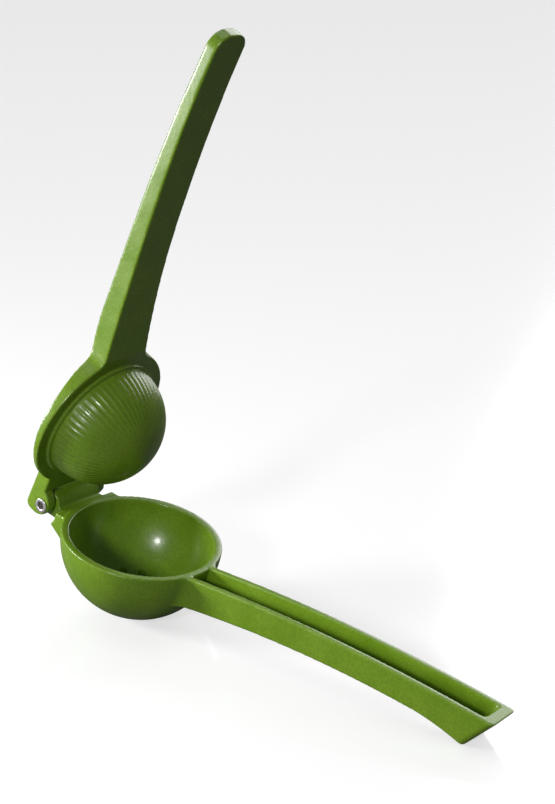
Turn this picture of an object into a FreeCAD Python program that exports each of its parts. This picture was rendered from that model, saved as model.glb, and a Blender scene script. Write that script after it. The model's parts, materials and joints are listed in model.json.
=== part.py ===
import FreeCAD, Part
import os
import re

import Sketcher
from FreeCAD import Placement, Rotation, Vector

# Hand citrus squeezer: a strainer cup on a channel handle, and a press dome on a bar handle,
# hinged by one rivet at the far side of the cup. Millimetres and degrees.
#
# Each casting is drawn in its own frame: origin at the centre of the cup's rim plane (or of the
# flange that closes on it), +X along the handle, +Z up when the squeezer is shut.
# In the model's frame the squeezer stands on the rest flat under its cup and on the toe of its
# lower handle: origin at the centre of the rest flat, +Z up, and the press stands open.

SIZES = [
    # stance
    ("open_angle", 74.5, "how far the press stands open"),
    ("rest_flat_cut", 0.35, "depth of the flat ground under the cup"),
    # cup
    ("bowl_radius", 33.6, "outside radius of the cup"),
    ("bowl_drop", 0.8, "centre of the cup's round below the rim plane"),
    ("cup_wall", 3.4, "wall of the cup"),
    ("drain_radius", 1.6, "drain hole"),
    ("drain_inner_ring", 8.0, "radius of the inner ring of drain holes"),
    ("drain_outer_ring", 15.5, "radius of the outer ring of drain holes"),
    ("drain_inner_count", 6, "holes in the inner ring"),
    ("drain_outer_count", 12, "holes in the outer ring"),
    # lower handle
    ("grip_width", 15.8, "width of the lower handle"),
    ("grip_wall", 2.65, "side walls of the channel"),
    ("grip_floor", 2.5, "floor of the channel"),
    ("grip_end", 3.0, "end wall of the channel"),
    ("grip_corner", 1.6, "upright corners of the channel"),
    ("tip_corner", 2.0, "upright corners of the handle's tip"),
    ("grip_reach", 177.0, "rim centre to the top of the handle's tip"),
    ("grip_rise", 14.6, "tip's top above the rim plane"),
    ("grip_bow", 870.0, "radius of the handle's top edge"),
    ("arch_inset", 32.0, "highest point of the handle's underside, back from its tip"),
    ("arch_height", 2.1, "underside there, above the rim plane"),
    ("grip_sweep", 584.0, "radius of the underside from there to the cup"),
    ("toe_sweep", 100.0, "radius of the underside from there to the toe"),
    ("neck_depth", 17.4, "underside below the rim plane at its root inside the cup's round"),
    ("toe_inset", 10.0, "toe back from the tip"),
    ("toe_drop", 0.3, "toe below the rim plane"),
    ("neck_round", 5.0, "round between handle and cup"),
    # press
    ("flange_inset", 0.4, "edge of the flange inside the cup's outside"),
    ("flange_edge", 3.3, "flange thickness at its middle"),
    ("flange_slope", 0.05, "rise of the flange's back per length towards the handle"),
    ("step_gap", 2.0, "radial gap between the cup's inside and the step that centres the press"),
    ("step_height", 1.2, "height of that step"),
    ("dome_gap", 3.4, "radial gap between the cup's inside and the press dome"),
    ("dome_drop", 0.5, "centre of the dome's round below the flange"),
    ("dome_wall", 3.6, "wall of the dome"),
    # upper handle
    ("bar_root_width", 23.6, "width of the upper handle where it leaves the flange"),
    ("bar_waist_width", 17.2, "width where its sides turn straight"),
    ("bar_waist", 67.0, "edge of the flange outwards to there"),
    ("bar_waist_sweep", 660.0, "radius of its sides up to there"),
    ("bar_end_width", 16.2, "width at its end"),
    ("bar_overhang", -1.0, "end of the upper handle beyond the tip of the lower one"),
    ("bar_corner", 6.5, "round corners of that end, seen from above"),
    ("bar_neck_round", 6.0, "round between the bar and the flange"),
    ("bar_mid_height", 8.65, "inner face halfway along the bar, above the rim plane"),
    ("bar_tip_height", 10.1, "inner face at the tip"),
    ("bar_sweep", 600.0, "radius of the inner face"),
    ("climb_start", 23.0, "edge of the flange inwards to where its back starts to climb to the bar"),
    ("climb_turn", 2.0, "edge of the flange inwards to where that climb is steepest"),
    ("climb_turn_height", 8.2, "back there"),
    ("climb_sweep", 72.0, "radius of the back below that point"),
    ("climb_over_sweep", 100.0, "radius of the back above that point"),
    ("climb_end", 25.0, "edge of the flange outwards to where the back levels out"),
    ("climb_end_height", 13.3, "back there"),
    ("back_tip_height", 15.3, "back at the tip"),
    ("back_sweep", 838.0, "radius of the bar's back"),
    # hinge
    ("hinge_clear", 9.0, "hinge axis behind the cup's outside"),
    ("hinge_drop", 0.9, "hinge axis below the rim plane"),
    ("pin_radius", 2.6, "rivet's shank"),
    ("pin_running_gap", 0.05, "radial clearance of the shank in its bores"),
    ("head_radius", 3.1, "rivet's heads"),
    ("head_height", 1.0, "rivet's heads"),
    ("head_seat_gap", 0.4, "radial clearance of a head in its seat"),
    ("head_seat_depth", 0.4, "depth of the seat in each ear"),
    ("pin_hollow_radius", 1.6, "hollow end of the rivet"),
    ("pin_hollow_depth", 4.5, "hollow end of the rivet"),
    ("hinge_width", 33.8, "across the outer faces of the ears"),
    ("ear_thickness", 4.5, "each ear"),
    ("ear_radius", 6.5, "round end of an ear"),
    ("ear_ahead", 0.6, "centre of that round ahead of the hinge axis"),
    ("ear_lift", 2.0, "centre of that round above the rim plane"),
    ("ear_corner", 3.2, "round top corner of an ear"),
    ("ear_height", 7.3, "top of the ears above the rim plane"),
    ("ear_root", 20.6, "hinge axis to where the ears run out on the flange"),
    ("ear_shelf", 13.6, "hinge axis to where the ears' flat tops end"),
    ("tongue_gap", 0.35, "side clearance between tongue and ears"),
    ("tongue_radius", 5.6, "round end of the tongue"),
    ("web_gap", 1.0, "clearance between that round end and the web that joins the ears"),
    ("shoulder_sweep", 8.3, "radius of the hollow in the shoulder that the ears turn in"),
    ("shoulder_top", 0.3, "top of the shoulder below the rim plane"),
    ("shoulder_heel", 5.8, "hinge axis down to the shoulder's heel"),
    ("shoulder_root", 18.4, "hinge axis to the shoulder's root in the cup's wall"),
    ("shoulder_root_depth", 14.3, "underside of the shoulder at its root, below the rim plane"),
    # making
    ("root_share", 0.6, "root of the lower handle, as a share of the cup's outside radius"),
    ("blank_spare", 12.0, "how far the blanks stand above the lower handle's tip"),
    ("cut_margin", 10.0, "how far a cut runs past what it trims"),
]
NAMES = [entry[0] for entry in SIZES]
SLACK = 0.02  # within this, two lengths measured on a shape are the same
SAMPLES = 7  # points looked at along an edge

# Lengths and angles worked out from the sizes, as expressions. Both castings start as blanks that
# are taller than their outline and are then cut to it.
BLANK_TOP = "(grip_rise + blank_spare)"
ACROSS = "(3 * bowl_radius)"
ROOT = "(bowl_radius * root_share)"
CUP_INSIDE = "(bowl_radius - cup_wall)"
FLANGE = "(bowl_radius - flange_inset)"
DOME = f"({CUP_INSIDE} - dome_gap)"
ARCH_X = "(grip_reach - arch_inset)"
TOE_X = "(grip_reach - toe_inset)"
BAR_REACH = "(grip_reach + bar_overhang)"
HINGE_BACK = "(bowl_radius + hinge_clear)"
TOE_LEAN = "(toe_inset / (grip_rise + toe_drop))"
TIP_TOP = f"({TOE_X} + ({BLANK_TOP} + toe_drop) * {TOE_LEAN})"
TILT = (f"(asin((bowl_radius - rest_flat_cut) / sqrt({TOE_X}^2 + (bowl_drop - toe_drop)^2))"
        f" + atan((bowl_drop - toe_drop) / {TOE_X}))")
PRESS_TILT = f"({TILT} - open_angle * 1 deg)"
RIM_X = f"(bowl_drop * sin({TILT}))"
RIM_Z = f"(bowl_radius - rest_flat_cut + bowl_drop * cos({TILT}))"
AXIS_X = f"({RIM_X} - {HINGE_BACK} * cos({TILT}) - hinge_drop * sin({TILT}))"
AXIS_Z = f"({RIM_Z} + {HINGE_BACK} * sin({TILT}) - hinge_drop * cos({TILT}))"

doc = FreeCAD.newDocument("citrus_squeezer")
sheet = doc.addObject("Spreadsheet::Sheet", "sizes")
for row, (alias, amount, note) in enumerate(SIZES, start=1):
    sheet.set(f"A{row}", note)
    sheet.set(f"B{row}", str(amount))
    sheet.setAlias(f"B{row}", alias)
doc.recompute()


def value(expression):
    """What an expression in the sizes comes to now."""
    return float(sheet.evalExpression(expression))


def bound(expression):
    """The expression as the document's other objects write it, looking each size up in the sheet."""
    return re.sub(r"[a-z_]+", lambda word: f"sizes.{word[0]}" if word[0] in NAMES else word[0], expression)


def new_body(label):
    body = doc.addObject("PartDesign::Body", label)
    body.Label = label
    return body


def place(body, angle, across, up):
    """Turn a body by angle about +Y, then move its origin to (across, 0, up)."""
    body.Placement = Placement(Vector(0, 0, 0), Rotation(Vector(0, 1, 0), 1))
    body.setExpression("Placement.Rotation.Angle", bound(angle))
    body.setExpression("Placement.Base.x", bound(across))
    body.setExpression("Placement.Base.z", bound(up))


def new_sketch(body, name, plane, shift=None):
    """An empty sketch on one of the body's own planes, its origin moved by shift if given."""
    sketch = body.newObject("Sketcher::SketchObject", name)
    face = next(feature for feature in body.Origin.OriginFeatures if feature.Role == plane)
    sketch.AttachmentSupport = [(face, "")]
    sketch.MapMode = "FlatFace"
    for axis, length in (shift or {}).items():
        sketch.setExpression(f"AttachmentOffset.Base.{axis}", bound(length))
    return sketch


def fix(sketch, kind, *where, to):
    index = sketch.addConstraint(Sketcher.Constraint(kind, *where, value(to)))
    sketch.setExpression(f"Constraints[{index}]", bound(to))


def round_side(start, end, radius, bulge):
    """The arc from start to end that bulges to the left or right of that way, and its end numbers."""
    chord = end - start
    left = Vector(-chord.y, chord.x, 0).normalize()
    rise = (radius**2 - (chord.Length / 2) ** 2) ** 0.5
    centre = (start + end) / 2 + left * (rise if bulge == "right" else -rise)
    circle = Part.Circle(centre, Vector(0, 0, 1), radius)
    first, last = circle.parameter(start), circle.parameter(end)
    if bulge == "right":
        return Part.ArcOfCircle(circle, first, last), (1, 2)
    return Part.ArcOfCircle(circle, last, first), (2, 1)


def outline(body, name, plane, corners, shift=None):
    """A closed outline through corners, each (across, up, side to the next corner). A side is None
    where it is straight, or (radius, the hand it bulges to on the way round) where it is an arc."""
    sketch = new_sketch(body, name, plane, shift)
    points = [Vector(value(corner[0]), value(corner[1]), 0) for corner in corners]
    ends = []
    for number, corner in enumerate(corners):
        start, end = points[number], points[(number + 1) % len(points)]
        if corner[2] is None:
            side, order = Part.LineSegment(start, end), (1, 2)
        else:
            side, order = round_side(start, end, value(corner[2][0]), corner[2][1])
        sketch.addGeometry(side, False)
        ends.append(order)
    for number, corner in enumerate(corners):
        following = (number + 1) % len(corners)
        joint = (number, ends[number][1], following, ends[following][0])
        sketch.addConstraint(Sketcher.Constraint("Coincident", *joint))
        fix(sketch, "DistanceX", -1, 1, number, ends[number][0], to=corner[0])
        fix(sketch, "DistanceY", -1, 1, number, ends[number][0], to=corner[1])
        if corner[2] is not None:
            fix(sketch, "Radius", number, to=corner[2][0])
    return sketch


def circle(body, name, plane, across, up, radius):
    sketch = new_sketch(body, name, plane)
    centre = Vector(value(across), value(up), 0)
    sketch.addGeometry(Part.Circle(centre, Vector(0, 0, 1), value(radius)), False)
    fix(sketch, "DistanceX", -1, 1, 0, 3, to=across)
    fix(sketch, "DistanceY", -1, 1, 0, 3, to=up)
    fix(sketch, "Radius", 0, to=radius)
    return sketch


def finish(feature):
    """Recompute, and make sure that the feature did what it is for: added or removed material."""
    before = feature.BaseFeature.Shape.Volume if feature.BaseFeature else 0.0
    doc.recompute()
    bad = {"Invalid", "Error"} & set(feature.State)
    if bad or feature.Shape.isNull() or abs(feature.Shape.Volume - before) < 1e-3:
        raise RuntimeError(f"{feature.Label} failed: {feature.State}")
    return feature


def extrude(body, kind, sketch, length, both_ways=True):
    """A Pad or Pocket of the sketch, half its length to each side unless told otherwise."""
    feature = body.newObject(f"PartDesign::{kind}", f"{sketch.Name}_{kind.lower()}")
    feature.Profile = sketch
    feature.Midplane = both_ways
    feature.setExpression("Length", bound(length))
    sketch.Visibility = False
    return finish(feature)


def turn(body, kind, sketch):
    """A Revolution or Groove of the sketch about its own upright axis."""
    feature = body.newObject(f"PartDesign::{kind}", f"{sketch.Name}_{kind.lower()}")
    feature.Profile = sketch
    feature.ReferenceAxis = (sketch, ["V_Axis"])
    feature.Angle = 360
    return finish(feature)


def ring_of(body, feature, count):
    """Repeat a feature evenly round the body's upright axis."""
    pattern = body.newObject("PartDesign::PolarPattern", f"{feature.Name}_ring")
    pattern.Originals = [feature]
    pattern.Axis = (feature.Profile[0], ["N_Axis"])
    pattern.Angle = 360
    pattern.setExpression("Occurrences", bound(count))
    body.Tip = pattern
    return finish(pattern)


def round_edges(body, name, radius, chosen):
    """Fillet the edges of the body so far for which chosen(edge) holds."""
    base = body.Tip
    edges = [f"Edge{n}" for n, edge in enumerate(base.Shape.Edges, start=1) if chosen(edge)]
    feature = body.newObject("PartDesign::Fillet", name)
    feature.Base = (base, edges)
    feature.setExpression("Radius", bound(radius))
    return finish(feature)


def samples(edge):
    first, last = edge.ParameterRange
    return [edge.valueAt(first + (last - first) * step / (SAMPLES - 1)) for step in range(SAMPLES)]


def near(number, target):
    return abs(number - target) < SLACK


# ---------------------------------------------------------------- lower casting

def cup_round(points):
    """Whether points lie on the outside of the cup: a ball below its centre, a tube above."""
    radius, drop = value("bowl_radius"), value("bowl_drop")
    return all(near(Vector(p.x, p.y, min(p.z + drop, 0)).Length, radius) for p in points)


def corners_of(body, name, radius, half_width, from_x):
    """Round the edges that stand up at half_width to either side, from from_x outwards."""
    def stands_up(edge):
        points = samples(edge)
        beside = all(near(abs(p.y), half_width) and p.x > from_x - SLACK for p in points)
        return beside and abs(points[0].z - points[-1].z) > value("grip_rise / 2")

    round_edges(body, name, radius, stands_up)


def lower_handle(body):
    side = outline(body, "grip_side", "XZ_Plane", [
        (ROOT, BLANK_TOP, None),
        (TIP_TOP, BLANK_TOP, None),
        (TOE_X, "-toe_drop", ("toe_sweep", "right")),
        (ARCH_X, "arch_height", ("grip_sweep", "right")),
        (ROOT, "-neck_depth", None),
    ])
    extrude(body, "Pad", side, "grip_width")
    corners_of(body, "tip_corners", "tip_corner", value("grip_width / 2"), value(TOE_X))
    end = f"({TOE_X} - grip_end)"
    toe_slope = "(arch_height + toe_drop) / (arch_inset - toe_inset)"
    end_floor = f"(grip_floor - toe_drop + grip_end * {toe_slope})"
    channel = outline(body, "channel_side", "XZ_Plane", [
        (ROOT, BLANK_TOP, None),
        (f"{end} + ({BLANK_TOP} - {end_floor}) * {TOE_LEAN}", BLANK_TOP, None),
        (end, end_floor, ("toe_sweep", "right")),
        (ARCH_X, "arch_height + grip_floor", ("grip_sweep", "right")),
        (ROOT, "grip_floor - neck_depth", None),
    ])
    extrude(body, "Pocket", channel, "grip_width - 2 * grip_wall")
    corners_of(body, "channel_corners", "grip_corner", value("grip_width / 2 - grip_wall"), value(end))


def cup_outside(body):
    ball = outline(body, "cup_section", "XZ_Plane", [
        ("0", BLANK_TOP, None),
        ("bowl_radius", BLANK_TOP, None),
        ("bowl_radius", "-bowl_drop", ("bowl_radius", "left")),
        ("0", "-bowl_drop - bowl_radius", None),
    ])
    turn(body, "Revolution", ball)
    half_width, top = value("grip_width / 2"), value(BLANK_TOP)

    def joins_handle(edge):
        """Whether an edge is where the cup's outside meets the handle's sides or its underside."""
        points = samples(edge)
        if not cup_round(points) or min(p.x for p in points) < 0 or max(p.z for p in points) > top + SLACK:
            return False
        beside = all(near(abs(p.y), half_width) for p in points)
        return beside or near(max(p.y for p in points) - min(p.y for p in points), 2 * half_width)

    round_edges(body, "neck_fillets", "neck_round", joins_handle)


def trim_top(body):
    behind = "-(bowl_radius + cut_margin)"
    beyond = f"({TIP_TOP} + cut_margin)"
    above = outline(body, "above_parting_line", "XZ_Plane", [
        (behind, "0", None),
        ("bowl_radius", "0", ("grip_bow", "left")),
        ("grip_reach", "grip_rise", None),
        (beyond, "grip_rise", None),
        (beyond, f"{BLANK_TOP} + cut_margin", None),
        (behind, f"{BLANK_TOP} + cut_margin", None),
    ])
    extrude(body, "Pocket", above, ACROSS)


def shoulder_and_tongue(body):
    heel_x = f"(sqrt(shoulder_sweep^2 - shoulder_heel^2) - {HINGE_BACK})"
    top_x = f"(sqrt(shoulder_sweep^2 - (hinge_drop - shoulder_top)^2) - {HINGE_BACK})"
    root_x = f"(shoulder_root - {HINGE_BACK})"
    shoulder = outline(body, "shoulder_side", "XZ_Plane", [
        (root_x, "-shoulder_top", None),
        (top_x, "-shoulder_top", ("shoulder_sweep", "left")),
        (heel_x, "-hinge_drop - shoulder_heel", None),
        (root_x, "-shoulder_root_depth", None),
    ])
    extrude(body, "Pad", shoulder, "hinge_width")
    round_end = ("tongue_radius", "right")
    tongue = outline(body, "tongue_side", "XZ_Plane", [
        (f"tongue_radius - {HINGE_BACK}", "-hinge_drop", round_end),
        (f"-{HINGE_BACK}", "-hinge_drop + tongue_radius", round_end),
        (f"-{HINGE_BACK} - tongue_radius", "-hinge_drop", round_end),
        (f"-{HINGE_BACK}", "-hinge_drop - tongue_radius", None),
        (heel_x, "-hinge_drop - shoulder_heel", None),
        (root_x, "-shoulder_root_depth", None),
        (root_x, "-hinge_drop", None),
    ])
    extrude(body, "Pad", tongue, "hinge_width - 2 * (ear_thickness + tongue_gap)")


def cup_inside(body):
    """Hollow the cup, with the drain hole at its lowest point."""
    hollow = outline(body, "cup_hollow", "XZ_Plane", [
        ("0", "cut_margin", None),
        (CUP_INSIDE, "cut_margin", None),
        (CUP_INSIDE, "-bowl_drop", (CUP_INSIDE, "left")),
        ("drain_radius", f"-bowl_drop - sqrt({CUP_INSIDE}^2 - drain_radius^2)", None),
        ("drain_radius", "-bowl_radius - cut_margin", None),
        ("0", "-bowl_radius - cut_margin", None),
    ])
    turn(body, "Groove", hollow)


def rest_flat(body):
    """Grind the flat that the cup stands on, in the plane that also touches the toe."""
    depth = "(bowl_radius - rest_flat_cut)"

    def on_plane(along, below):
        across = f"({along} * cos({TILT}) + ({depth} + {below}) * sin({TILT}))"
        up = f"({along} * sin({TILT}) - ({depth} + {below}) * cos({TILT}) - bowl_drop)"
        return across, up

    below_flat = outline(body, "below_rest_flat", "XZ_Plane", [
        (*on_plane("(-cut_margin)", "0"), None),
        (*on_plane("cut_margin", "0"), None),
        (*on_plane("cut_margin", "cut_margin"), None),
        (*on_plane("(-cut_margin)", "cut_margin"), None),
    ])
    extrude(body, "Pocket", below_flat, ACROSS)


def drains(body):
    depth = "bowl_radius + cut_margin"
    for ring in ("inner", "outer"):
        hole = circle(body, f"drain_{ring}_hole", "XY_Plane", f"drain_{ring}_ring", "0", "drain_radius")
        ring_of(body, extrude(body, "Pocket", hole, depth, both_ways=False), f"drain_{ring}_count")


def bore_tongue(body):
    radius = "(pin_radius + pin_running_gap)"
    bore = outline(body, "tongue_bore", "XY_Plane", [
        ("0", "-hinge_width", None),
        (radius, "-hinge_width", None),
        (radius, "hinge_width", None),
        ("0", "hinge_width", None),
    ], shift={"x": f"-{HINGE_BACK}", "z": "-hinge_drop"})
    turn(body, "Groove", bore)


def make_lower_casting():
    body = new_body("lower_casting")
    lower_handle(body)
    cup_outside(body)
    trim_top(body)
    shoulder_and_tongue(body)
    cup_inside(body)
    rest_flat(body)
    drains(body)
    bore_tongue(body)
    place(body, TILT, RIM_X, RIM_Z)
    return body


# ---------------------------------------------------------------- upper casting

def flange_and_bar(body):
    disc = circle(body, "flange_disc", "XY_Plane", "0", "0", FLANGE)
    extrude(body, "Pad", disc, f"2 * {BLANK_TOP}")
    waist = f"({FLANGE} + bar_waist)"
    bar = outline(body, "bar_plan", "XY_Plane", [
        (f"{FLANGE} / 2", "-bar_root_width / 2", None),
        (FLANGE, "-bar_root_width / 2", ("bar_waist_sweep", "left")),
        (waist, "-bar_waist_width / 2", None),
        (BAR_REACH, "-bar_end_width / 2", None),
        (BAR_REACH, "bar_end_width / 2", None),
        (waist, "bar_waist_width / 2", ("bar_waist_sweep", "left")),
        (FLANGE, "bar_root_width / 2", None),
        (f"{FLANGE} / 2", "bar_root_width / 2", None),
    ])
    extrude(body, "Pad", bar, f"2 * {BLANK_TOP}")

    def upright_at(edge, across, half_width):
        points = samples(edge)
        return all(near(p.x, across) and near(abs(p.y), half_width) for p in points)

    end, end_half = value(BAR_REACH), value("bar_end_width / 2")
    round_edges(body, "bar_end", "bar_corner", lambda edge: upright_at(edge, end, end_half))
    neck, root_half = value(f"sqrt({FLANGE}^2 - (bar_root_width / 2)^2)"), value("bar_root_width / 2")
    round_edges(body, "bar_neck", "bar_neck_round", lambda edge: upright_at(edge, neck, root_half))


def trim_press(body):
    beyond = f"({BAR_REACH} + cut_margin)"
    behind = f"(-{FLANGE} - cut_margin)"
    inner = outline(body, "below_inner_face", "XZ_Plane", [
        (behind, "0", None),
        (FLANGE, "0", ("bar_sweep", "left")),
        (f"({FLANGE} + {BAR_REACH}) / 2", "bar_mid_height", ("bar_sweep", "left")),
        (BAR_REACH, "bar_tip_height", None),
        (beyond, "bar_tip_height", None),
        (beyond, f"-{BLANK_TOP} - cut_margin", None),
        (behind, f"-{BLANK_TOP} - cut_margin", None),
    ])
    extrude(body, "Pocket", inner, ACROSS)
    slope = "flange_edge + flange_slope * "
    foot = f"({FLANGE} - climb_start)"
    back = outline(body, "above_back", "XZ_Plane", [
        (behind, f"{slope}{behind}", None),
        (foot, f"{slope}{foot}", ("climb_sweep", "right")),
        (f"{FLANGE} - climb_turn", "climb_turn_height", ("climb_over_sweep", "left")),
        (f"{FLANGE} + climb_end", "climb_end_height", ("back_sweep", "left")),
        (BAR_REACH, "back_tip_height", None),
        (beyond, "back_tip_height", None),
        (beyond, f"{BLANK_TOP} + cut_margin", None),
        (behind, f"{BLANK_TOP} + cut_margin", None),
    ])
    extrude(body, "Pocket", back, ACROSS)


def dome(body):
    step = f"({CUP_INSIDE} - step_gap)"
    section = outline(body, "dome_section", "XZ_Plane", [
        ("0", "flange_edge / 2", None),
        (step, "flange_edge / 2", None),
        (step, "-step_height", None),
        (f"sqrt({DOME}^2 - (step_height - dome_drop)^2)", "-step_height", (DOME, "left")),
        ("0", f"-dome_drop - {DOME}", None),
    ])
    turn(body, "Revolution", section)


def ears(body):
    """The two ears, with the web that joins them ahead of the tongue."""
    round_x = f"(ear_ahead - {HINGE_BACK})"
    root_x = f"(ear_root - {HINGE_BACK})"
    side = outline(body, "ear_side", "XZ_Plane", [
        (f"{round_x} - ear_radius + ear_corner", "ear_height", None),
        (f"ear_shelf - {HINGE_BACK}", "ear_height", None),
        (root_x, f"(flange_edge + flange_slope * {root_x}) / 2", None),
        (root_x, "0", None),
        (f"{round_x} + ear_radius", "0", None),
        (f"{round_x} + ear_radius", "ear_lift", ("ear_radius", "left")),
        (round_x, "ear_lift - ear_radius", ("ear_radius", "left")),
        (f"{round_x} - ear_radius", "ear_lift", None),
        (f"{round_x} - ear_radius", "ear_height - ear_corner", ("ear_corner", "left")),
    ])
    extrude(body, "Pad", side, "hinge_width")
    behind = f"(-{HINGE_BACK} - 2 * ear_radius)"
    web_x = f"(tongue_radius + web_gap - {HINGE_BACK})"
    slot = outline(body, "tongue_slot", "XZ_Plane", [
        (behind, "2 * ear_height", None),
        (web_x, "2 * ear_height", None),
        (web_x, "0", None),
        (f"-{CUP_INSIDE}", "0", None),
        (f"-{CUP_INSIDE}", "-2 * ear_radius", None),
        (behind, "-2 * ear_radius", None),
    ])
    extrude(body, "Pocket", slot, "hinge_width - 2 * ear_thickness")


def press_hollow(body):
    hollow = f"({DOME} - dome_wall)"
    section = outline(body, "back_hollow", "XZ_Plane", [
        ("0", BLANK_TOP, None),
        (hollow, BLANK_TOP, None),
        (hollow, "-dome_drop", (hollow, "left")),
        ("0", f"-dome_drop - {hollow}", None),
    ])
    turn(body, "Groove", section)


def bore_ears(body):
    bore = "(pin_radius + pin_running_gap)"
    seat = "(head_radius + head_seat_gap)"
    floor = "(hinge_width / 2 - head_seat_depth)"
    section = outline(body, "ear_bores", "XY_Plane", [
        ("0", "-hinge_width", None),
        (seat, "-hinge_width", None),
        (seat, f"-{floor}", None),
        (bore, f"-{floor}", None),
        (bore, floor, None),
        (seat, floor, None),
        (seat, "hinge_width", None),
        ("0", "hinge_width", None),
    ], shift={"x": f"-{HINGE_BACK}", "z": "-hinge_drop"})
    turn(body, "Groove", section)


def make_upper_casting():
    body = new_body("upper_casting")
    flange_and_bar(body)
    trim_press(body)
    dome(body)
    ears(body)
    press_hollow(body)
    bore_ears(body)
    place(body, PRESS_TILT,
          f"{AXIS_X} + {HINGE_BACK} * cos({PRESS_TILT}) + hinge_drop * sin({PRESS_TILT})",
          f"{AXIS_Z} - {HINGE_BACK} * sin({PRESS_TILT}) + hinge_drop * cos({PRESS_TILT})")
    return body


# ---------------------------------------------------------------- hinge rivet

def make_hinge_pin():
    body = new_body("hinge_pin")
    seat = "(hinge_width / 2 - head_seat_depth)"
    end = "(hinge_width / 2 - head_seat_depth + head_height)"
    section = outline(body, "pin_section", "XY_Plane", [
        ("0", f"pin_hollow_depth - {end}", None),
        ("pin_hollow_radius", f"pin_hollow_depth - {end}", None),
        ("pin_hollow_radius", f"-{end}", None),
        ("head_radius", f"-{end}", None),
        ("head_radius", f"-{seat}", None),
        ("pin_radius", f"-{seat}", None),
        ("pin_radius", seat, None),
        ("head_radius", seat, None),
        ("head_radius", end, None),
        ("pin_hollow_radius", end, None),
        ("pin_hollow_radius", f"{end} - pin_hollow_depth", None),
        ("0", f"{end} - pin_hollow_depth", None),
    ])
    turn(body, "Revolution", section)
    place(body, "0", AXIS_X, AXIS_Z)
    return body


def export(parts):
    for item in doc.Objects:
        if {"Invalid", "Error"} & set(item.State):
            raise RuntimeError(f"{item.Label} failed: {item.State}")
    os.makedirs("parts", exist_ok=True)
    for part in parts:
        shape = part.Shape
        if shape.isNull() or not shape.isValid() or len(shape.Solids) != 1:
            raise RuntimeError(f"{part.Label} isn't one valid solid")
        shape.exportStep(f"parts/{part.Label}.step")
        print(f"{part.Label}: {shape.Volume / 1000:.2f} cm3")


parts = [make_lower_casting(), make_upper_casting(), make_hinge_pin()]
doc.recompute()
export(parts)
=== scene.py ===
import json
from math import atan2, cos, pi, radians, sin, sqrt

import bmesh
import bpy
from mathutils import Matrix, Vector


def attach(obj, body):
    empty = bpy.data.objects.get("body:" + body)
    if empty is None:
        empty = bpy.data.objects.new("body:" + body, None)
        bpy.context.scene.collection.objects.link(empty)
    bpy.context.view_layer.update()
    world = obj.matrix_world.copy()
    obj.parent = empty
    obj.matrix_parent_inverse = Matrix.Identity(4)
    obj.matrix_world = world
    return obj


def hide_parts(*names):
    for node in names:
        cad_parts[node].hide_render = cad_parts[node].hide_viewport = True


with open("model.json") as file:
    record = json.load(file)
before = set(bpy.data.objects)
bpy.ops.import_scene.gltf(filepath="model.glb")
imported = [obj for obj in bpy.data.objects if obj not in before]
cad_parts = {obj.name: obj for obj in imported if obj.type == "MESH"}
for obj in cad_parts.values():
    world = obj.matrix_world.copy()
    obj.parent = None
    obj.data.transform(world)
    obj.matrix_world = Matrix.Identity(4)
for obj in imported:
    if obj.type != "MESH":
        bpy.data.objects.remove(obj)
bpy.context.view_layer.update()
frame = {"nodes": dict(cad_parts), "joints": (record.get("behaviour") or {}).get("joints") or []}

MM = 0.001

# ---- the frame's own places

hinge = Vector(frame["joints"][0]["pos_m"])

# The press's own frame: its flange's centre, turned back from shut by the angle it stands open.
HANDLE_TILT = radians(11.656)
OPEN_ANGLE = radians(74.5)
HINGE_BACK = 42.6 * MM
HINGE_DROP = 0.9 * MM
press = (Matrix.Translation(hinge) @ Matrix.Rotation(HANDLE_TILT - OPEN_ANGLE, 4, "Y")
         @ Matrix.Translation((HINGE_BACK, 0, HINGE_DROP)))

# ---- the camera: a three-quarter view over the side of the handles, from a little above the rim

AZIMUTH, ELEVATION, ROLL = radians(38.465), radians(18.067), radians(1.102)
DISTANCE = 701 * MM
ASIDE, ABOVE = 55.933 * MM, 55.591 * MM
RIM_CENTRE = Vector((0.16, 0, 34.03)) * MM
SENSOR, LENS = 36, 75.93
NEAREST, FARTHEST = 0.01, 20


def make_camera():
    back = Vector((sin(AZIMUTH) * cos(ELEVATION), -cos(AZIMUTH) * cos(ELEVATION), sin(ELEVATION)))
    right = Vector((cos(AZIMUTH), sin(AZIMUTH), 0))
    up = back.cross(right)
    right, up = cos(ROLL) * right + sin(ROLL) * up, cos(ROLL) * up - sin(ROLL) * right
    data = bpy.data.cameras.new("camera")
    data.sensor_fit = "AUTO"
    data.sensor_width = SENSOR
    data.lens = LENS
    data.clip_start, data.clip_end = NEAREST, FARTHEST
    camera = bpy.data.objects.new("camera", data)
    bpy.context.collection.objects.link(camera)
    camera.matrix_world = Matrix((right, up, back)).transposed().to_4x4()
    camera.location = RIM_CENTRE + back * DISTANCE + right * ASIDE + up * ABOVE
    bpy.context.scene.camera = camera


make_camera()

# ---- materials


def new_material(name):
    material = bpy.data.materials.new(name)
    material.use_nodes = True
    tree = material.node_tree
    return material, tree, tree.nodes["Principled BSDF"]


def object_place(tree):
    return tree.nodes.new("ShaderNodeTexCoord").outputs["Object"]


def noise(tree, place, scale, detail):
    """Noise with scale bumps to the metre."""
    made = tree.nodes.new("ShaderNodeTexNoise")
    made.inputs["Scale"].default_value = scale
    made.inputs["Detail"].default_value = detail
    made.inputs["Roughness"].default_value = 0.5
    tree.links.new(place, made.inputs["Vector"])
    return made.outputs["Fac"]


def spread(tree, fac, low, high, start=0.3, end=0.7):
    """Spread the run of fac from start to end over low to high."""
    made = tree.nodes.new("ShaderNodeMapRange")
    made.inputs["From Min"].default_value = start
    made.inputs["From Max"].default_value = end
    made.inputs["To Min"].default_value = low
    made.inputs["To Max"].default_value = high
    tree.links.new(fac, made.inputs["Value"])
    return made.outputs["Result"]


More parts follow.
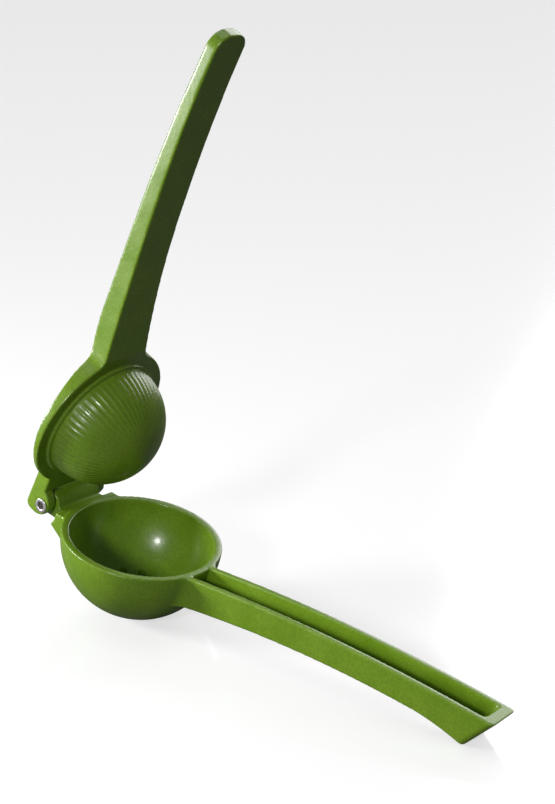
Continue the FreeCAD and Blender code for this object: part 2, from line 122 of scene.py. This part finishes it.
def mix_colour(tree, fac, first, second):
    made = tree.nodes.new("ShaderNodeMix")
    made.data_type = "RGBA"
    tree.links.new(fac, made.inputs["Factor"])
    for socket, colour in ((made.inputs["A"], first), (made.inputs["B"], second)):
        if isinstance(colour, tuple):
            socket.default_value = (*colour, 1)
        else:
            tree.links.new(colour, socket)
    return made.outputs["Result"]


# Linear colours.
ENAMEL_DEEP, ENAMEL_BRIGHT = (0.165, 0.30, 0.013), (0.215, 0.36, 0.021)
ENAMEL_FLECK = (0.115, 0.225, 0.014)
STEEL_WORN, STEEL_CLEAN = (0.82, 0.82, 0.83), (0.92, 0.92, 0.92)
# Painted shade: the near-black that stands in for the shade inside the rivet's hollow ends.
HOLLOW_SHADE_DEEP, HOLLOW_SHADE_PALE = (0.02, 0.014, 0.012), (0.06, 0.045, 0.04)


def enamel():
    """Green baked enamel over a sand casting: mottled, faintly uneven, glossy."""
    material, tree, shader = new_material("green_enamel")
    place = object_place(tree)
    mottle = spread(tree, noise(tree, place, scale=85, detail=3), 0, 1)
    grain = spread(tree, noise(tree, place, scale=1300, detail=2), 0, 1, start=0.42, end=0.6)
    body = mix_colour(tree, mottle, ENAMEL_DEEP, ENAMEL_BRIGHT)
    flecked = mix_colour(tree, spread(tree, grain, 0, 0.5, start=0, end=1), body, ENAMEL_FLECK)
    tree.links.new(flecked, shader.inputs["Base Color"])
    tree.links.new(spread(tree, mottle, 0.27, 0.38, start=0, end=1), shader.inputs["Roughness"])
    shader.inputs["Coat Weight"].default_value = 0.25
    shader.inputs["Coat Roughness"].default_value = 0.1
    bump = tree.nodes.new("ShaderNodeBump")
    bump.inputs["Strength"].default_value = 0.15
    bump.inputs["Distance"].default_value = 0.3 * MM
    tree.links.new(noise(tree, place, scale=520, detail=2), bump.inputs["Height"])
    tree.links.new(bump.outputs["Normal"], shader.inputs["Normal"])
    return material


def plated_steel():
    """Bright plating, dulled in fine patches."""
    material, tree, shader = new_material("plated_steel")
    place = object_place(tree)
    wear = spread(tree, noise(tree, place, scale=700, detail=3), 0, 1)
    tree.links.new(mix_colour(tree, wear, STEEL_WORN, STEEL_CLEAN), shader.inputs["Base Color"])
    tree.links.new(spread(tree, wear, 0.3, 0.42, start=0, end=1), shader.inputs["Roughness"])
    shader.inputs["Metallic"].default_value = 1.0
    return material


def painted_recess_shade():
    """Painted shade for the rivet's hollow ends: near-black, mottled at random."""
    material, tree, shader = new_material("painted_recess_shade")
    place = object_place(tree)
    shade_mottle = spread(tree, noise(tree, place, scale=900, detail=3), 0, 1)
    tree.links.new(mix_colour(tree, shade_mottle, HOLLOW_SHADE_DEEP, HOLLOW_SHADE_PALE), shader.inputs["Base Color"])
    shader.inputs["Roughness"].default_value = 0.55
    return material


GREEN = enamel()
PAINTED_SHADE = painted_recess_shade()
STEEL = plated_steel()

# ---- pieces


def add_piece(name, mesh, material, body, record_slot, *nodes):
    """Put a mesh in as a piece that rides on body and shows in place of the nodes named."""
    piece = bpy.data.objects.new(name, mesh)
    bpy.context.collection.objects.link(piece)
    mesh.materials.clear()
    mesh.materials.append(material)
    for face in mesh.polygons:
        face.use_smooth = material is not PAINTED_SHADE
        face.material_index = 0
    if nodes:
        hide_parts(*nodes)
    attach(piece, body)


# The castings' skins: the grid they are laid on, how often they are smoothed, and the share of their
# triangles that is kept.
CELL = 0.36 * MM
SMOOTHINGS = 14
MESH_SHARE = 0.32
WELD = 0.001 * MM


def cast_surface(node_name):
    """A casting's own shape in one even skin, its edges softened as sand casting and enamel do."""
    source = frame["nodes"][node_name]
    shape = bmesh.new()
    shape.from_mesh(source.data)
    bmesh.ops.remove_doubles(shape, verts=shape.verts, dist=WELD)
    rough = bpy.data.meshes.new(node_name + "_rough")
    shape.to_mesh(rough)
    shape.free()
    holder = bpy.data.objects.new(node_name + "_rough", rough)
    bpy.context.collection.objects.link(holder)
    skin = holder.modifiers.new("skin", "REMESH")
    skin.mode = "VOXEL"
    skin.voxel_size = CELL
    soft = holder.modifiers.new("soft", "SMOOTH")
    soft.factor = 0.5
    soft.iterations = SMOOTHINGS
    thin = holder.modifiers.new("thin", "DECIMATE")
    thin.ratio = MESH_SHARE
    graph = bpy.context.evaluated_depsgraph_get()
    mesh = bpy.data.meshes.new_from_object(holder.evaluated_get(graph))
    bpy.data.objects.remove(holder)
    return mesh


# The press dome, and the fluted skin that stands on it between the flange's step and the pole.
DOME_RADIUS = 26.8 * MM
DOME_CENTRE = -0.5 * MM
STEP_FACE = -1.2 * MM
SKIN = 1.9 * MM  # thickness of the skin
SKIN_FOOT = 0.25 * MM  # how far it runs on past the dome's widest circle, inside the step
OUTER_RINGS, INNER_RINGS = 56, 8
SUNK = 0.9 * MM  # how far the casting's own dome is drawn in under the skin
SUNK_OVER = 1.2 * MM  # depth over which it gets there, and how near the round a point counts as dome
FLUTES = 64
STEPS_TO_A_FLUTE = 10
FLUTE_DEPTH = 0.22 * MM
FLUTE_START, FLUTE_RISE = 2.5, 6  # degrees up the dome
FLUTE_FADE, FLUTE_FADE_LENGTH = 24, 46  # degrees up the dome
RIDGE_SHARPNESS = 4
SEAM = 0.002 * MM  # doubles nearer than this are one point
ON_AXIS = 1e-6


def ease(amount):
    """0 up to 0, 1 from 1, and a smooth rise between."""
    amount = min(max(amount, 0), 1)
    return amount * amount * (3 - 2 * amount)


def sink_dome(mesh):
    """The mesh, with the casting's dome drawn in under the fluted skin."""
    to_press = press.inverted()
    centre = Vector((0, 0, DOME_CENTRE))
    for vertex in mesh.vertices:
        spot = to_press @ vertex.co - centre
        on_dome = spot.z < STEP_FACE - DOME_CENTRE and abs(spot.length - DOME_RADIUS) < SUNK_OVER
        if on_dome:
            depth = SUNK * ease((STEP_FACE - DOME_CENTRE - spot.z) / SUNK_OVER)
            vertex.co = press @ (centre + spot * (1 - depth / spot.length))
    return mesh


def fluted_dome():
    """A closed shell spun round the press's axis, its outside drawn in between shallow flutes."""
    outer, inner = DOME_RADIUS, DOME_RADIUS - SKIN
    shape = bmesh.new()
    first = atan2(SKIN_FOOT, outer)
    profile = []
    for ring in range(OUTER_RINGS + 1):
        angle = -first + (pi / 2 + first) * ring / OUTER_RINGS
        profile.append((outer * cos(angle), DOME_CENTRE - outer * sin(angle)))
    for ring in range(INNER_RINGS, -1, -1):
        angle = pi / 2 * ring / INNER_RINGS
        profile.append((inner * cos(angle), DOME_CENTRE - inner * sin(angle)))
    corners = [shape.verts.new((max(across, 0), 0, up)) for across, up in profile]
    for start, end in zip(corners, corners[1:] + corners[:1]):
        if start.co.x > ON_AXIS or end.co.x > ON_AXIS:
            shape.edges.new((start, end))
    bmesh.ops.spin(shape, geom=shape.verts[:] + shape.edges[:], cent=(0, 0, 0), axis=(0, 0, 1),
                   angle=2 * pi, steps=STEPS_TO_A_FLUTE * FLUTES, use_merge=True)
    bmesh.ops.remove_doubles(shape, verts=shape.verts, dist=SEAM)
    for vertex in shape.verts:
        spot = vertex.co - Vector((0, 0, DOME_CENTRE))
        if spot.length < (outer + inner) / 2:
            continue
        latitude = atan2(-spot.z, sqrt(spot.x ** 2 + spot.y ** 2)) / radians(1)
        rise = ease((latitude - FLUTE_START) / FLUTE_RISE)
        fade = ease((latitude - FLUTE_FADE) / FLUTE_FADE_LENGTH)
        reach = rise * (1 - fade)
        between = 1 - abs(cos(FLUTES / 2 * atan2(spot.y, spot.x))) ** RIDGE_SHARPNESS
        vertex.co -= spot.normalized() * FLUTE_DEPTH * reach * between
    bmesh.ops.recalc_face_normals(shape, faces=shape.faces)
    shape.transform(press)
    mesh = bpy.data.meshes.new("fluted_dome")
    shape.to_mesh(mesh)
    shape.free()
    return mesh


# The rivet: half its length, its head, the hollow in each end, its shank, and the round of its rings.
RIVET_HALF = 17.5 * MM
HEAD_RADIUS, HEAD_HEIGHT = 3.1 * MM, 0.95 * MM
HOLLOW_RADIUS, HOLLOW_DEPTH = 1.6 * MM, 4.5 * MM
SHANK_RADIUS = 2.55 * MM
LIP = 0.35 * MM
QUARTER_STEP, QUARTER_POINTS = 22.5, 5
RIVET_STEPS = 96
# The plug of painted shade in each hollow end: a dark solid where the hollow's own shade would be.
PLUG_RADIUS, PLUG_LENGTH, PLUG_MIDDLE = 1.62 * MM, 4 * MM, 14.95 * MM
PLUG_SIDES = 48


def rivet():
    """The rivet's two rounded, plated rings and the shank between them."""
    half, head, bore, lip = RIVET_HALF, HEAD_RADIUS, HOLLOW_RADIUS, LIP
    quarter = [radians(QUARTER_STEP * step) for step in range(QUARTER_POINTS)]
    end = [(0, half - HOLLOW_DEPTH), (bore, half - HOLLOW_DEPTH), (bore, half - lip)]
    end += [(bore + lip - lip * cos(turn), half - lip + lip * sin(turn)) for turn in quarter[1:]]
    end += [(head - lip + lip * sin(turn), half - lip + lip * cos(turn)) for turn in quarter]
    end += [(head, half - HEAD_HEIGHT), (SHANK_RADIUS, half - HEAD_HEIGHT)]
    profile = end + [(across, -along) for across, along in reversed(end)]
    shape = bmesh.new()
    corners = [shape.verts.new((across, along, 0)) for across, along in profile]
    for start, finish in zip(corners, corners[1:]):
        shape.edges.new((start, finish))
    bmesh.ops.spin(shape, geom=shape.verts[:] + shape.edges[:], cent=(0, 0, 0), axis=(0, 1, 0),
                   angle=2 * pi, steps=RIVET_STEPS, use_merge=True)
    bmesh.ops.remove_doubles(shape, verts=shape.verts, dist=SEAM)
    bmesh.ops.recalc_face_normals(shape, faces=shape.faces)
    shape.transform(Matrix.Translation(hinge))
    mesh = bpy.data.meshes.new("rivet")
    shape.to_mesh(mesh)
    shape.free()
    return mesh


def rivet_hollow_shade():
    """Two dark plugs of painted shade that fill the rivet's hollow ends to a little below its rings.
    """
    shape = bmesh.new()
    for side in (-1, 1):
        middle = Matrix.Translation((0, side * PLUG_MIDDLE, 0)) @ Matrix.Rotation(pi / 2, 4, "X")
        bmesh.ops.create_cone(shape, cap_ends=True, segments=PLUG_SIDES, radius1=PLUG_RADIUS,
                              radius2=PLUG_RADIUS, depth=PLUG_LENGTH,
                              matrix=Matrix.Translation(hinge) @ middle)
    mesh = bpy.data.meshes.new("rivet_hollow_shade")
    shape.to_mesh(mesh)
    shape.free()
    return mesh


add_piece("lower_casting_enamelled", cast_surface("lower_casting"), GREEN,
          "lower", "enamel", "lower_casting")
add_piece("upper_casting_enamelled", sink_dome(cast_surface("upper_casting")), GREEN,
          "upper", "enamel", "upper_casting")
add_piece("press_dome_flutes", fluted_dome(), GREEN, "upper", "enamel")
# Dark plugs of painted shade in the rivet's hollow ends.
add_piece("hinge_rivet_hollow_shade", rivet_hollow_shade(), PAINTED_SHADE, "upper", "rivet")
add_piece("hinge_rivet_plated", rivet(), STEEL, "upper", "rivet", "hinge_pin")

# ---- floor and light

FLOOR_REACH = 12  # metres from its middle to its sides
SOFTBOX_AIM = Vector((0, 0, 0.06))
WORLD_STRENGTH = 0.09


def pale_floor():
    """A pale floor, bright and faintly polished to the camera, that throws little light back up.

    To bounced light it is a dull grey, so this isn't one plain material.
    """
    material, tree, shader = new_material("floor")
    shader.inputs["Base Color"].default_value = (0.47, 0.47, 0.47, 1)
    shader.inputs["Roughness"].default_value = 0.12
    shader.inputs["Emission Color"].default_value = (1, 1, 1, 1)
    shader.inputs["Emission Strength"].default_value = 0.63
    shader.inputs["Specular IOR Level"].default_value = 0.3
    dull = tree.nodes.new("ShaderNodeBsdfDiffuse")
    dull.inputs["Color"].default_value = (0.14, 0.14, 0.14, 1)
    mixed = tree.nodes.new("ShaderNodeMixShader")
    seen_directly = tree.nodes.new("ShaderNodeLightPath").outputs["Is Camera Ray"]
    tree.links.new(seen_directly, mixed.inputs[0])
    tree.links.new(dull.outputs[0], mixed.inputs[1])
    tree.links.new(shader.outputs[0], mixed.inputs[2])
    tree.links.new(mixed.outputs[0], tree.nodes["Material Output"].inputs["Surface"])
    return material


def make_floor():
    shape = bmesh.new()
    bmesh.ops.create_grid(shape, x_segments=1, y_segments=1, size=FLOOR_REACH)
    mesh = bpy.data.meshes.new("floor")
    shape.to_mesh(mesh)
    shape.free()
    mesh.materials.append(pale_floor())
    floor = bpy.data.objects.new("floor", mesh)
    bpy.context.collection.objects.link(floor)


def make_lamp(name, towards, breadth, strength):
    """A broad, even light from far off in the direction towards, breadth degrees across."""
    data = bpy.data.lights.new(name, "SUN")
    data.energy = strength
    data.angle = radians(breadth)
    lamp = bpy.data.objects.new(name, data)
    bpy.context.collection.objects.link(lamp)
    lamp.location = Vector(towards) * 2
    lamp.rotation_euler = (-Vector(towards)).to_track_quat("-Z", "Y").to_euler()


def make_softbox(name, place, breadth, power):
    """A round diffuser close by, aimed at the cup."""
    data = bpy.data.lights.new(name, "AREA")
    data.shape = "DISK"
    data.size = breadth
    data.energy = power
    lamp = bpy.data.objects.new(name, data)
    bpy.context.collection.objects.link(lamp)
    lamp.location = place
    aim = SOFTBOX_AIM - lamp.location
    lamp.rotation_euler = aim.to_track_quat("-Z", "Y").to_euler()


def make_world():
    """A dim, even white all round."""
    world = bpy.data.worlds.new("studio")
    world.use_nodes = True
    background = world.node_tree.nodes["Background"]
    background.inputs["Color"].default_value = (1, 1, 1, 1)
    background.inputs["Strength"].default_value = WORLD_STRENGTH
    bpy.context.scene.world = world


make_floor()
make_world()
make_softbox("key", (-0.42, -0.34, 0.20), breadth=0.16, power=3.3)
make_lamp("front", (0.24, -0.85, 0.42), breadth=9, strength=1.2)
make_lamp("overhead", (-0.35, 0.1, 0.93), breadth=50, strength=0.7)
make_lamp("back", (-0.15, 0.88, 0.42), breadth=40, strength=1.3)
bpy.context.scene.view_settings.view_transform = "Standard"
